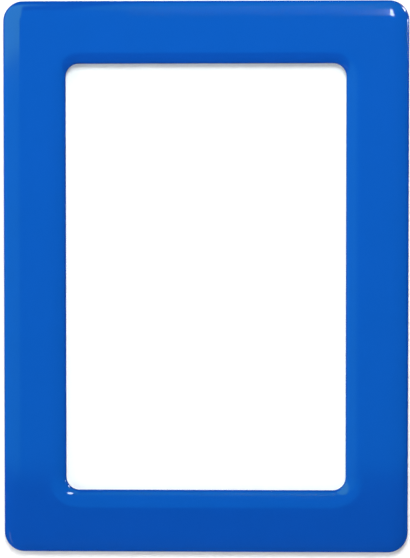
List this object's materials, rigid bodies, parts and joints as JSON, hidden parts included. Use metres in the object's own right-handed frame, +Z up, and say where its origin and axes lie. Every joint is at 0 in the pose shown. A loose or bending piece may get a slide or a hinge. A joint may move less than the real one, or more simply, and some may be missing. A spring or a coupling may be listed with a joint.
{
  "type": "magnetic document pocket",
  "caption": "Magnetic document pocket: a glossy frame with rolled edges over a clear pocket, open at the top, with flexible magnet strips sealed in behind the border.",
  "frame": {"origin": "middle of the flat back, where it lies against the steel", "axes": "+Z up along the height, +X to the right seen from the front, +Y out of the back; the front looks along -Y"},
  "size_m": [0.1366, 0.0041, 0.186],
  "materials": {
    "blue_plastic": "glossy",
    "clear_film": "clear and glossy",
    "magnet_rubber": "matte"
  },
  "bodies": {
    "root": {"front_frame": "blue_plastic", "window_sheet": "clear_film", "back_sheet": "clear_film", "left_magnet_strip": "magnet_rubber", "right_magnet_strip": "magnet_rubber", "bottom_magnet_strip": "magnet_rubber"}
  },
  "joints": []
}
